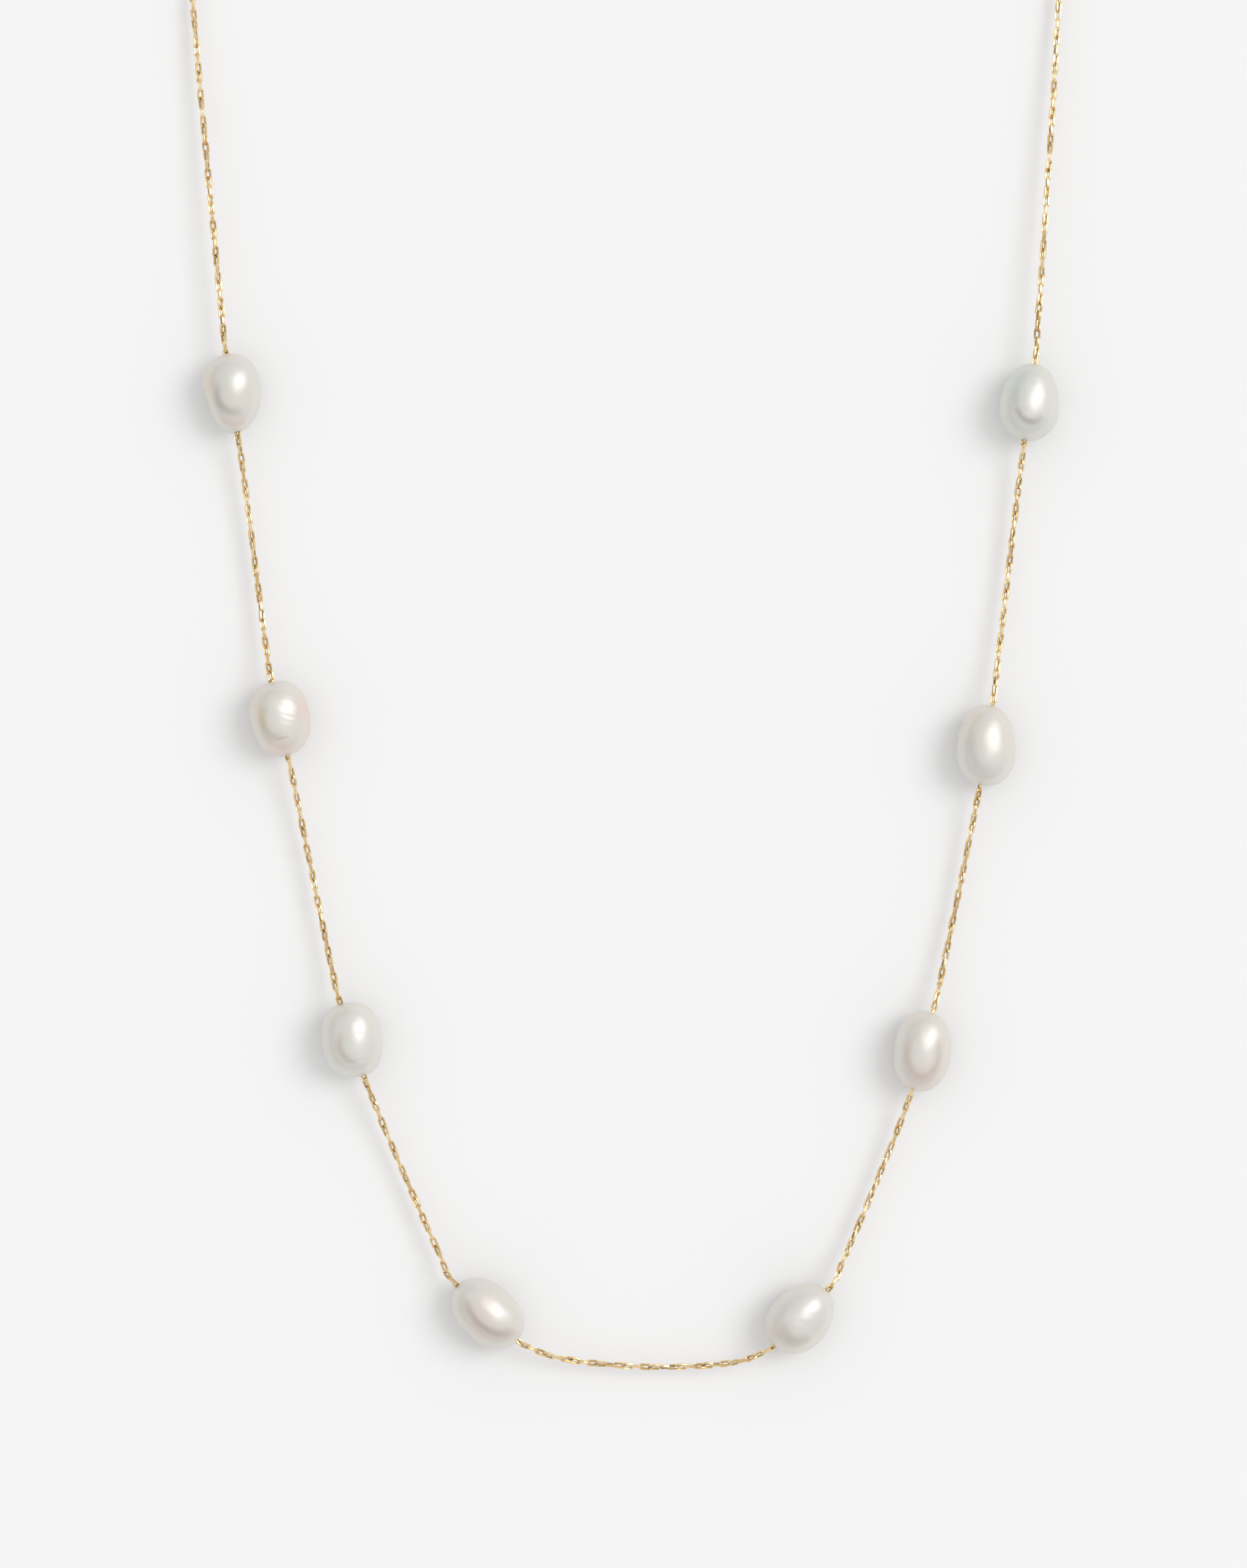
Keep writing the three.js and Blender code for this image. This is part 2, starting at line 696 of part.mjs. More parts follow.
const group = new THREE.Group();
group.name = 'pearl_necklace';
group.add(assembly);
group.updateMatrixWorld(true);
group.userData.hinges = hinges.map((hinge) => ({
  name: hinge.name,
  kind: hinge.kind,
  at: assembly.localToWorld(hinge.at.clone()).toArray(),
  axis: hinge.axis.toArray(),
}));

export default group;
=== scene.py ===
import json
import math

import bmesh
import bpy
import numpy
from mathutils import Matrix, Vector, noise


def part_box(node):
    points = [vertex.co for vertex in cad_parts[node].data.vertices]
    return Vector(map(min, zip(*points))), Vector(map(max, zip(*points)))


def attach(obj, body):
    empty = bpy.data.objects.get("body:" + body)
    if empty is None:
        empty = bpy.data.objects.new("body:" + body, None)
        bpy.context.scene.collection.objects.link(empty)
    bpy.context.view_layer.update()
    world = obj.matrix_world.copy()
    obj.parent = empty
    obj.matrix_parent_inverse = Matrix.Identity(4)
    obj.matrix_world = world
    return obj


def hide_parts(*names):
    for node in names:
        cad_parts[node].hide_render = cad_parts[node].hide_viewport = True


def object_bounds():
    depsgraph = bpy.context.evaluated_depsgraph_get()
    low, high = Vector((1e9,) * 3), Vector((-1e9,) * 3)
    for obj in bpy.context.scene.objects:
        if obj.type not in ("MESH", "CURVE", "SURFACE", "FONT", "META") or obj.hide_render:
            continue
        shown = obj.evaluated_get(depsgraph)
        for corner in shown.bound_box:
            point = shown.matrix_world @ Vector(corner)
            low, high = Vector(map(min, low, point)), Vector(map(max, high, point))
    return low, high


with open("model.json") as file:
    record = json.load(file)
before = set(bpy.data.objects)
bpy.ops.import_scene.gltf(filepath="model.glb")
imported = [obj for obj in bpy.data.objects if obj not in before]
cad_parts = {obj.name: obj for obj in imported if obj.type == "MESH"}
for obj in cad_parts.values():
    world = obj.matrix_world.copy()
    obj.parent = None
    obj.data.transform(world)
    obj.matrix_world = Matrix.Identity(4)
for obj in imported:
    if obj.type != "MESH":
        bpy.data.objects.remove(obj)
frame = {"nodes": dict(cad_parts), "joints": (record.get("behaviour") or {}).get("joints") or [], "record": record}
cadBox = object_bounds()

mm = 0.001
up = Vector((0, 0, 1))
bodyOf = {}
for bodyName, members in frame["record"]["behaviour"]["bodies"].items():
    for member in members:
        bodyOf[member] = bodyName
jointAt = {joint["name"]: Vector(joint["pos_m"]) for joint in frame["joints"]}


# Camera, straight above the strand

view = {
    "height": 900 * mm,        # above the middles of the pearls
    "tall": 177.4 * mm,        # what the picture takes in, top to bottom
    "aimRight": -0.8 * mm,     # from halfway between the outer pearls
    "aimUp": 8.85 * mm,        # from halfway between the bottom run and the outer pearls
    "sensor": 36,
    "sees": (0.01, 20),        # nearest and farthest, metres
}


def makeCamera():
    left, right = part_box("pearl_1"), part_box("pearl_8")
    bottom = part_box("chain_bottom")
    middle = (left[0].z + left[1].z) / 2
    x = (left[0].x + right[1].x) / 2 + view["aimRight"]
    y = (bottom[0].y + left[1].y) / 2 + view["aimUp"]
    lens = bpy.data.cameras.new("camera")
    lens.sensor_width = view["sensor"]
    lens.lens = view["sensor"] * view["height"] / view["tall"]
    lens.clip_start, lens.clip_end = view["sees"]
    camera = bpy.data.objects.new("camera", lens)
    camera.location = (x, y, middle + view["height"])
    bpy.context.scene.collection.objects.link(camera)
    bpy.context.scene.camera = camera


makeCamera()
print("camera made")


# Helpers for pieces and materials

def pieceFrom(bm, name, material, angle=None):
    mesh = bpy.data.meshes.new(name)
    bm.to_mesh(mesh)
    bm.free()
    mesh.materials.append(material)
    mesh.shade_smooth()
    if angle is not None:
        mesh.set_sharp_from_angle(angle=math.radians(angle))
    piece = bpy.data.objects.new(name, mesh)
    bpy.context.scene.collection.objects.link(piece)
    return piece


def standFor(piece, node):
    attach(piece, bodyOf[node])
    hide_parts(node)


def nodePoints(node):
    seen = {}
    for vertex in frame["nodes"][node].data.vertices:
        seen[tuple(round(value / mm, 3) for value in vertex.co)] = vertex.co.copy()
    return list(seen.values())


def newMaterial(name):
    material = bpy.data.materials.new(name)
    material.use_nodes = True
    tree = material.node_tree
    tree.nodes.clear()
    out = tree.nodes.new("ShaderNodeOutputMaterial")
    shader = tree.nodes.new("ShaderNodeBsdfPrincipled")
    tree.links.new(shader.outputs["BSDF"], out.inputs["Surface"])
    return material, tree, shader


def newGroup(name, inputs, outputs):
    group = bpy.data.node_groups.new(name, "ShaderNodeTree")
    for socket, kind, value in inputs:
        made = group.interface.new_socket(socket, in_out="INPUT", socket_type=kind)
        made.default_value = value
    for socket, kind in outputs:
        group.interface.new_socket(socket, in_out="OUTPUT", socket_type=kind)
    given = group.nodes.new("NodeGroupInput")
    told = group.nodes.new("NodeGroupOutput")
    return group, given, told


def makeRamp(tree, source, stops):
    node = tree.nodes.new("ShaderNodeValToRGB")
    elements = node.color_ramp.elements
    stops = list(stops)
    while len(elements) < len(stops):
        elements.new(0.5)
    for element, (place, shade) in zip(elements, stops):
        element.position = place
        element.color = (shade, shade, shade, 1)
    tree.links.new(source, node.inputs["Fac"])
    return node.outputs["Color"]


def makeNoise(tree, detail, place, scale):
    node = tree.nodes.new("ShaderNodeTexNoise")
    node.inputs["Detail"].default_value = detail
    tree.links.new(place, node.inputs["Vector"])
    if isinstance(scale, (int, float)):
        node.inputs["Scale"].default_value = scale
    else:
        tree.links.new(scale, node.inputs["Scale"])
    return node.outputs["Fac"]


def mixColours(tree, factor, first, second):
    node = tree.nodes.new("ShaderNodeMix")
    node.data_type = "RGBA"
    for socket, value in ((0, factor), (6, first), (7, second)):
        if isinstance(value, bpy.types.NodeSocket):
            tree.links.new(value, node.inputs[socket])
        else:
            node.inputs[socket].default_value = value
    return node.outputs[2]


def multiply(tree, first, second):
    node = tree.nodes.new("ShaderNodeMath")
    node.operation = "MULTIPLY"
    tree.links.new(first, node.inputs[0])
    if isinstance(second, bpy.types.NodeSocket):
        tree.links.new(second, node.inputs[1])
    else:
        node.inputs[1].default_value = second
    return node.outputs[0]


# Gold: a polished plate, deeper in tone in random patches, with painted shade on the inner faces of the links

gold = {
    "bright": (0.98, 0.77, 0.46, 1),
    "deep": (0.76, 0.52, 0.24, 1),
    "recessShade": (0.3, 0.17, 0.06, 1),    # painted shade on the inner faces of the links
    "recessShadeShare": 0.8,
    "patches": 700,            # noise scale of the tone
    "claspPatches": 400,
    "spread": (0.35, 0.62),    # noise from the deep tone to the bright one
    "scuffs": 6000,
    "chainRough": (0.1, 0.3),
    "claspRough": (0.12, 0.28),
    "bump": 0.1,
    "bumpDepth": 0.02 * mm,
}


def makeGoldTone():
    group, given, told = newGroup(
        "goldTone",
        [("Bright", "NodeSocketColor", gold["bright"]),
         ("Deep", "NodeSocketColor", gold["deep"]),
         ("Patches", "NodeSocketFloat", gold["patches"]),
         ("Scuffs", "NodeSocketFloat", gold["scuffs"])],
        [("Color", "NodeSocketColor"), ("Scuff", "NodeSocketFloat")])
    place = group.nodes.new("ShaderNodeTexCoord").outputs["Object"]
    patches = makeNoise(group, 3, place, given.outputs["Patches"])
    scuffs = makeNoise(group, 2, place, given.outputs["Scuffs"])
    tone = makeRamp(group, patches, zip(gold["spread"], (0, 1)))
    colour = mixColours(group, tone, given.outputs["Deep"], given.outputs["Bright"])
    group.links.new(colour, told.inputs["Color"])
    group.links.new(scuffs, told.inputs["Scuff"])
    return group


goldTone = makeGoldTone()


def makeGold(name, rough, patches, recessShade=0):
    material, tree, shader = newMaterial(name)
    tone = tree.nodes.new("ShaderNodeGroup")
    tone.node_tree = goldTone
    tone.inputs["Patches"].default_value = patches
    spread = tree.nodes.new("ShaderNodeMapRange")
    spread.inputs["To Min"].default_value = rough[0]
    spread.inputs["To Max"].default_value = rough[1]
    bump = tree.nodes.new("ShaderNodeBump")
    bump.inputs["Strength"].default_value = gold["bump"]
    bump.inputs["Distance"].default_value = gold["bumpDepth"]
    colour = tone.outputs["Color"]
    # painted shade: the inner faces of the links are darkened
    if recessShade:
        inner = tree.nodes.new("ShaderNodeAttribute")
        inner.attribute_name = "recessShade"
        share = multiply(tree, inner.outputs["Fac"], recessShade)
        colour = mixColours(tree, share, colour, gold["recessShade"])
    tree.links.new(colour, shader.inputs["Base Color"])
    tree.links.new(tone.outputs["Scuff"], spread.inputs["Value"])
    tree.links.new(spread.outputs["Result"], shader.inputs["Roughness"])
    tree.links.new(tone.outputs["Scuff"], bump.inputs["Height"])
    tree.links.new(bump.outputs["Normal"], shader.inputs["Normal"])
    shader.inputs["Metallic"].default_value = 1
    return material


chainGold = makeGold("chainGold", gold["chainRough"], gold["patches"], gold["recessShadeShare"])
claspGold = makeGold("claspGold", gold["claspRough"], gold["claspPatches"])
print("gold made")


# Nacre: layered shell with a soft gloss, clouded by pink, green and cream, with painted dark reflections as shade
# and tint

nacre = {
    "body": (0.69, 0.675, 0.63, 1),
    "blush": (0.72, 0.6, 0.54, 1),
    "cool": (0.61, 0.645, 0.6, 1),
    "cream": (0.72, 0.64, 0.5, 1),
    # colour of the painted shade in the dark reflection bands
    "shade": (0.3, 0.25, 0.21, 1),
    "clouds": 170,             # noise scale of the clouding
    "spread": (0.38, 0.68),    # noise from no clouding to the most
    "greenShift": (3.1, 1.7, 0.4),
    "grain": 1500,
    "rough": (0.32, 0.4),
    "metallic": 0.3,           # share of the mirror-like sheen of the shell layers
    "coat": 0.2,
    "coatRough": 0.27,
    "ior": 1.65,
    "depth": 0.2,              # share of the light that goes in and comes out again
    "depthColours": (1.0, 0.8, 0.65),
    "depthReach": 0.8 * mm,
}


def makeNacreTone():
    group, given, told = newGroup(
        "nacreTone",
        [("Body", "NodeSocketColor", nacre["body"]),
         ("Blush", "NodeSocketColor", nacre["blush"]),
         ("Cool", "NodeSocketColor", nacre["cool"]),
         ("Pink", "NodeSocketFloat", 0.5),
         ("Green", "NodeSocketFloat", 0.5),
         ("Clouds", "NodeSocketFloat", nacre["clouds"])],
        [("Color", "NodeSocketColor"), ("Grain", "NodeSocketFloat")])
    place = group.nodes.new("ShaderNodeTexCoord").outputs["Object"]
    shift = group.nodes.new("ShaderNodeMapping")
    shift.inputs["Location"].default_value = nacre["greenShift"]
    group.links.new(place, shift.inputs["Vector"])
    shares = []
    for where, strength in ((place, "Pink"), (shift.outputs["Vector"], "Green")):
        clouds = makeNoise(group, 3, where, given.outputs["Clouds"])
        shown = makeRamp(group, clouds, zip(nacre["spread"], (0, 1)))
        shares.append(multiply(group, shown, given.outputs[strength]))
    pinkShare, greenShare = shares
    colour = mixColours(group, pinkShare, given.outputs["Body"], given.outputs["Blush"])
    colour = mixColours(group, greenShare, colour, given.outputs["Cool"])
    group.links.new(colour, told.inputs["Color"])
    group.links.new(makeNoise(group, 4, place, nacre["grain"]), told.inputs["Grain"])
    return group


nacreTone = makeNacreTone()


def makeNacre(name, pink, green):
    material, tree, shader = newMaterial(name)
    tone = tree.nodes.new("ShaderNodeGroup")
    tone.node_tree = nacreTone
    tone.inputs["Pink"].default_value = pink
    tone.inputs["Green"].default_value = green
    tintAndShade = tree.nodes.new("ShaderNodeAttribute")   # red: cream, green: painted shade, blue: cool
    tintAndShade.attribute_name = "tintAndShade"
    parts = tree.nodes.new("ShaderNodeSeparateColor")
    tree.links.new(tintAndShade.outputs["Color"], parts.inputs["Color"])
    colour = mixColours(tree, parts.outputs["Red"], tone.outputs["Color"], nacre["cream"])
    colour = mixColours(tree, parts.outputs["Blue"], colour, nacre["cool"])
    flush = tree.nodes.new("ShaderNodeAttribute")
    flush.attribute_name = "flush"
    colour = mixColours(tree, flush.outputs["Fac"], colour, nacre["blush"])
    # painted shade: the dark reflection bands darken the colour
    colour = mixColours(tree, parts.outputs["Green"], colour, nacre["shade"])
    spread = tree.nodes.new("ShaderNodeMapRange")
    spread.inputs["To Min"].default_value = nacre["rough"][0]
    spread.inputs["To Max"].default_value = nacre["rough"][1]
    tree.links.new(colour, shader.inputs["Base Color"])
    tree.links.new(tone.outputs["Grain"], spread.inputs["Value"])
    tree.links.new(spread.outputs["Result"], shader.inputs["Roughness"])
    shader.inputs["Metallic"].default_value = nacre["metallic"]
    shader.inputs["IOR"].default_value = nacre["ior"]
    shader.inputs["Subsurface Weight"].default_value = nacre["depth"]
    shader.inputs["Subsurface Radius"].default_value = nacre["depthColours"]
    shader.inputs["Subsurface Scale"].default_value = nacre["depthReach"]
    shader.inputs["Coat Weight"].default_value = nacre["coat"]
    shader.inputs["Coat Roughness"].default_value = nacre["coatRough"]
    return material


# Pearls, from the left end to the right end. The bore runs at heading, and lean turns the pearl's
# own long axis from it. Marks lie on the upper side, in millimetres right of and above the middle.

pearlWall = {
    "around": 144,
    "along": 100,
    "bore": 0.5 * mm,          # radius of the drilled hole
    "lip": 0.12 * mm,          # rounding at its mouth
    "swell": 0.09 * mm,        # slow unevenness
    "swellScale": 0.32,
    "dimple": 0.018 * mm,      # finer unevenness
    "dimpleScale": 1.1,
    "seedStep": 7.3,           # between one pearl's unevenness and the next
    "stillRows": 4,            # rows round the mouth where the unevenness grows
    "markRise": 1.2,           # height above the middle where the marks are full, millimetres
    "samples": 361,            # of the outline
    "sharp": 50,
}

mark = {
    "creaseFade": 0.5,         # how soon a crease deepens from its ends
    "ridge": (0.5, 2.2, 1.4),  # beside a crease: height, distance and width against its own
    "rippleSlant": 0.25,
    "bandFade": 0.6,
}

# reflection bands are painted dark reflections: shade darkens the colour, and cream, cool and blush tint it;
# clouds are tints only
pearls = [
    {"length": 9.05, "width": 6.6, "heading": -81.6, "lean": -6, "fullness": 2.1, "egg": -0.1,
     "pink": 0.35, "green": 0.7,
     "hollows": [(212, 42, 0.3), (330, 40, -0.14)],
     "reflectionBands": [{"at": (0.35, -0.05), "size": (1.85, 2.2), "turn": 0, "from": 150, "to": 305,
                "width": 0.42, "shade": 0.42, "cool": 0.6}],
     "clouds": [{"at": (-2.5, 0.4), "size": (0.8, 2.6), "cream": 0.6},
                {"at": (0.5, -3.4), "size": (1.4, 0.7), "blush": 0.6}],
     "creases": [], "ripples": []},
    {"length": 8.6, "width": 6.85, "heading": -77.7, "lean": -7, "fullness": 2.25, "egg": -0.02,
     "pink": 1.15, "green": 0.05,
     "hollows": [(225, 40, 0.2), (340, 40, -0.1)],
     "reflectionBands": [{"at": (0.3, 0), "size": (2.1, 2.2), "turn": 0, "from": 135, "to": 300,
                "width": 0.42, "shade": 0.3, "cream": 0.4}],
     "clouds": [{"at": (-2.0, 0.2), "size": (0.8, 1.4), "cream": 0.8}],
     "creases": [{"a": (-0.72, -2.72), "b": (1.2, -2.12), "width": 0.15, "depth": 0.085}],
     "ripples": [{"at": (1.05, 0.7), "size": (0.75, 1.6), "pitch": 0.72, "depth": 0.012}]},
    {"length": 8.5, "width": 6.85, "heading": -72.1, "lean": -10, "fullness": 2.35, "egg": 0,
     "pink": 0.2, "green": 0.5,
     "hollows": [],
     "reflectionBands": [{"at": (0.75, -0.3), "size": (2.05, 2.2), "turn": 0, "from": 145, "to": 275,
                "width": 0.4, "shade": 0.36, "cream": 0.3}],
     "clouds": [],
     "creases": [{"a": (-1.0, -2.66), "b": (1.9, -2.02), "width": 0.11, "depth": 0.05},
                 {"a": (0.3, 0.78), "b": (1.3, 0.62), "width": 0.16, "depth": 0.014}],
     "ripples": []},
    {"length": 9.2, "width": 6.6, "heading": -42.4, "lean": 0, "fullness": 2.15, "egg": 0.02,
     "pink": 0.6, "green": 0.25,
     "hollows": [],
     "reflectionBands": [{"at": (0.3, 0.3), "size": (3.1, 1.75), "turn": -42, "from": 155, "to": 330,
                "width": 0.4, "shade": 0.5, "blush": 0.5}],
     "clouds": [], "creases": [], "ripples": []},
    {"length": 8.65, "width": 6.75, "heading": 46.2, "lean": 2, "fullness": 2.15, "egg": -0.05,
     "pink": 0.45, "green": 0.3,
     "hollows": [],
     "reflectionBands": [{"at": (0.2, -0.1), "size": (2.5, 1.9), "turn": 46, "from": 175, "to": 300,
                "width": 0.5, "shade": 0.34}],
     "clouds": [], "creases": [],
     "ripples": [{"at": (0, -0.5), "size": (2.0, 2.0), "pitch": 1.1, "depth": 0.006}]},
    {"length": 9.15, "width": 6.5, "heading": 74.8, "lean": 8, "fullness": 2.15, "egg": 0.02,
     "pink": 0.5, "green": 0.1,
     "hollows": [],
     "reflectionBands": [{"at": (0, -0.2), "size": (1.75, 2.55), "turn": -5, "from": 100, "to": 415,
                "width": 0.36, "shade": 0.27, "blush": 0.6, "cream": 0.3}],
     "clouds": [], "creases": [], "ripples": []},
    {"length": 9.25, "width": 6.7, "heading": 81.1, "lean": 8, "fullness": 2.15, "egg": -0.06,
     "pink": 0.5, "green": 0.15,
     "hollows": [],
     "reflectionBands": [{"at": (0.1, 0), "size": (1.8, 2.9), "turn": 0, "from": 145, "to": 300,
                "width": 0.45, "shade": 0.2}],
     "clouds": [{"at": (-1.2, 3.2), "size": (0.8, 0.6), "cream": 0.5}],
     "creases": [],
     "ripples": [{"at": (-1.2, 1.9), "size": (1.3, 1.4), "pitch": 0.62, "depth": 0.012}]},
    {"length": 8.75, "width": 6.75, "heading": 82.3, "lean": 1, "fullness": 2.15, "egg": -0.09,
     "pink": 0.1, "green": 0.9,
     "hollows": [],
     "reflectionBands": [{"at": (0.1, 0), "size": (1.8, 2.35), "turn": 0, "from": 195, "to": 315,
                "width": 0.3, "shade": 0.55, "cool": 0.6},
               {"at": (0.1, 0), "size": (1.8, 2.3), "turn": 0, "from": 140, "to": 230,
                "width": 0.4, "shade": 0.2}],
     "clouds": [],
     "creases": [{"a": (-2.0, -1.95), "b": (-0.9, -2.1), "width": 0.12, "depth": 0.02}],
     "ripples": []},
]


def heading(degrees):
    turn = math.radians(degrees)
    return Vector((math.cos(turn), math.sin(turn), 0))


def reachTable(pearl):
    # distance from the middle to the surface, against the angle from the pearl's own axis
    half = pearl["length"] / 2
    turn = numpy.linspace(0, math.pi, pearlWall["samples"])
    along = half * numpy.cos(turn)
    share = numpy.clip(numpy.abs(along) / half, 0, 1)
    outline = (1 - share ** pearl["fullness"]) ** (1 / pearl["fullness"])
    radius = outline * (1 + pearl["egg"] * numpy.sin(math.pi * along / pearl["length"]))
    radius *= pearl["width"] / 2 / radius.max()
    return numpy.arctan2(radius, along), numpy.hypot(radius, along) * mm


def middleOf(node, axis):
    points = nodePoints(node)
    middle = Vector()
    for way in (axis, up.cross(axis), up):
        spread = [point.dot(way) for point in points]
        middle += way * (min(spread) + max(spread)) / 2
    return middle


def bell(distance, width):
    return math.exp(-(distance / width) ** 2)


def topShare(place):
    # marks lie on the upper side and fade towards the middle
    return max(0, min(1, place.z / pearlWall["markRise"]))


def lineDistance(x, y, crease):
    ax, ay = crease["a"]
    bx, by = crease["b"]
    run = ((x - ax) * (bx - ax) + (y - ay) * (by - ay)) / ((bx - ax) ** 2 + (by - ay) ** 2)
    held = min(1, max(0, run))
    fade = math.sin(math.pi * held) ** mark["creaseFade"] if 0 < held < 1 else 0
    length = math.hypot(bx - ax, by - ay)
    side = ((bx - ax) * (y - ay) - (by - ay) * (x - ax)) / length
    return side, fade


def reliefAt(pearl, x, y, top):
    # how far the surface stands in or out at a mark, in millimetres
    relief = 0
    high, away, wide = mark["ridge"]
    for crease in pearl["creases"]:
        side, fade = lineDistance(x, y, crease)
        width = crease["width"]
        ridge = high * bell(side - away * width, wide * width)
        relief += crease["depth"] * fade * (ridge - bell(side, width))
    for ripple in pearl["ripples"]:
        dx = (x - ripple["at"][0]) / ripple["size"][0]
        dy = (y - ripple["at"][1]) / ripple["size"][1]
        run = y + mark["rippleSlant"] * x
        wave = math.sin(2 * math.pi * run / ripple["pitch"])
        relief += ripple["depth"] * wave * math.exp(-dx * dx - dy * dy)
    return relief * top


def hollowAt(pearl, way):
    depth = 0
    for turn, spread, deep in pearl["hollows"]:
        off = math.degrees(math.acos(max(-1, min(1, way.dot(heading(turn))))))
        depth += deep * bell(off, spread)
    return depth


def toneAt(pearl, x, y, top):
    tone = {"cream": 0, "shade": 0, "cool": 0, "blush": 0}
    # each band paints a dark reflection ring, as shade and tint
    for band in pearl["reflectionBands"]:
        dx, dy = x - band["at"][0], y - band["at"][1]
        turned = math.radians(band["turn"])
        run = (dx * math.cos(turned) + dy * math.sin(turned)) / band["size"][0]
        rise = (dy * math.cos(turned) - dx * math.sin(turned)) / band["size"][1]
        turn = (math.degrees(math.atan2(rise, run)) + band["turn"]) % 360
        if turn < band["from"] and band["to"] > 360:
            turn += 360
        reach = (turn - band["from"]) / (band["to"] - band["from"])
        fade = math.sin(math.pi * reach) ** mark["bandFade"] if 0 < reach < 1 else 0
        off = (math.hypot(run, rise) - 1) * min(band["size"])
        held = fade * bell(off, band["width"]) * top
        for name in tone:
            tone[name] += band.get(name, 0) * held
    for cloud in pearl["clouds"]:
        dx = (x - cloud["at"][0]) / cloud["size"][0]
        dy = (y - cloud["at"][1]) / cloud["size"][1]
        for name in tone:
            tone[name] += cloud.get(name, 0) * math.exp(-dx * dx - dy * dy) * top
    return [min(1, tone[name]) for name in ("cream", "shade", "cool", "blush")]


def makePearl(number, pearl):
    node = f"pearl_{number}"
    bore = heading(pearl["heading"])
    own = heading(pearl["heading"] + pearl["lean"])
    side = up.cross(bore)
    middle = middleOf(node, own)
    angles, reaches = reachTable(pearl)
    step = math.pi / pearlWall["along"]
    seed = Vector((pearlWall["seedStep"] * number, 0, 0))
    bm = bmesh.new()
    bmesh.ops.create_uvsphere(bm, u_segments=pearlWall["around"],
                              v_segments=pearlWall["along"], radius=1)
    caps = [v for v in bm.verts if math.acos(min(1, abs(v.co.z))) < 1.5 * step]
    bmesh.ops.delete(bm, geom=caps, context="VERTS")
    first = 2 * step                               # the rows of points start here, and are
    quarter = math.pi / 2                          # spread to start at the mouth of the hole
    for vertex in bm.verts:
        polar = math.acos(max(-1, min(1, vertex.co.z)))
        end = 1 if polar < quarter else -1
        row = min(polar, math.pi - polar)
        turn = math.atan2(vertex.co.y, vertex.co.x)
        reach = numpy.interp(quarter - end * (quarter - first), angles, reaches)
        mouth = math.asin((pearlWall["bore"] + 0.2 * pearlWall["lip"]) / reach)
        rim = mouth + (row - first) * (quarter - mouth) / (quarter - first)
        polar = quarter - end * (quarter - rim)
        way = bore * math.cos(polar)
        way += (side * math.cos(turn) + up * math.sin(turn)) * math.sin(polar)
        reach = float(numpy.interp(math.acos(max(-1, min(1, way.dot(own)))), angles, reaches))
        point = middle + way * reach
        place = (point - middle) / mm
        top = topShare(place)
        swell = noise.noise(place * pearlWall["swellScale"] + seed) * pearlWall["swell"]
        swell += noise.noise(place * pearlWall["dimpleScale"] + seed) * pearlWall["dimple"]
        swell += reliefAt(pearl, place.x, place.y, top) * mm
        swell -= hollowAt(pearl, way) * mm
        still = min(1, max(0, (rim - mouth) / (pearlWall["stillRows"] * step)))
        vertex.co = point + way * swell * still
        if row < first + step / 2:
            vertex.co -= bore * 0.5 * pearlWall["lip"] * end
        vertex.co.z = max(vertex.co.z, 0)          # it stands on the table
    inner = []
    for end in (1, -1):
        rims = [e for e in bm.edges if e.is_boundary
                and (e.verts[0].co - middle).dot(bore) * end > 0]
        grown = bmesh.ops.extrude_edge_only(bm, edges=rims)["geom"]
        for vertex in (g for g in grown if isinstance(g, bmesh.types.BMVert)):
            offset = vertex.co - middle
            across = offset - bore * offset.dot(bore)
            vertex.co = middle + across.normalized() * pearlWall["bore"]
            vertex.co += bore * (offset.dot(bore) - end * 2 * pearlWall["lip"])
        inner += [g for g in grown if isinstance(g, bmesh.types.BMEdge)]
    bmesh.ops.bridge_loops(bm, edges=inner)
    bmesh.ops.recalc_face_normals(bm, faces=bm.faces[:])
    material = makeNacre(f"nacre{number}", pearl["pink"], pearl["green"])
    piece = pieceFrom(bm, f"pearl_skin_{number}", material, pearlWall["sharp"])
    # tints and painted shade of the reflection bands, stored on the points
    piece.data.attributes.new("tintAndShade", "FLOAT_COLOR", "POINT")
    piece.data.attributes.new("flush", "FLOAT", "POINT")
    tintAndShade, flush = (piece.data.attributes[layer] for layer in ("tintAndShade", "flush"))
    for index, vertex in enumerate(piece.data.vertices):
        place = (vertex.co - middle) / mm
        top = topShare(place)
        cream, shade, cool, blush = toneAt(pearl, place.x, place.y, top)
        tintAndShade.data[index].color = (cream, shade, cool, 1)
        flush.data[index].value = blush
    standFor(piece, node)


for number, pearl in enumerate(pearls, 1):
    makePearl(number, pearl)
print("pearls made")


# Chain: runs of small interlocked links, each turned on the one before

chain = {
    "runs": 10,                # up each side
    "pitch": 1.0 * mm,
    "wire": 0.28 * mm,
    "width": 0.8 * mm,         # over a link
    "flat": 1.25,              # depth of the wire over its width
    "slack": 0.01 * mm,
    "turn": 60,                # of each link on the one before, degrees
    "firstTurn": 30,
    "uneven": 36,              # most that a link lies off its turn, degrees
    "tilt": 9,                 # and out of line, degrees
    "wander": 2.3 * mm,        # how far along that changes
    "otherNoise": 40,          # from the noise for the turn to that for the tilt
    "recessShade": 0.14 * mm,       # how deep in the wire the painted inner shade is full
    "routeStep": 0.25 * mm,
    "sectionSides": 8,         # of the runs as they come
    "clear": 0.6 * mm,         # of their ends, and from the last run to its ring
    "sharp": 40,
    "bowSteps": 4,
    "wireSides": 6,
    "endGrip": 0.3 * mm,       # how far the last link reaches past the middle of its ring's wire
    "endWidth": 1.35,          # the last link's width, for the thicker wire it holds
}


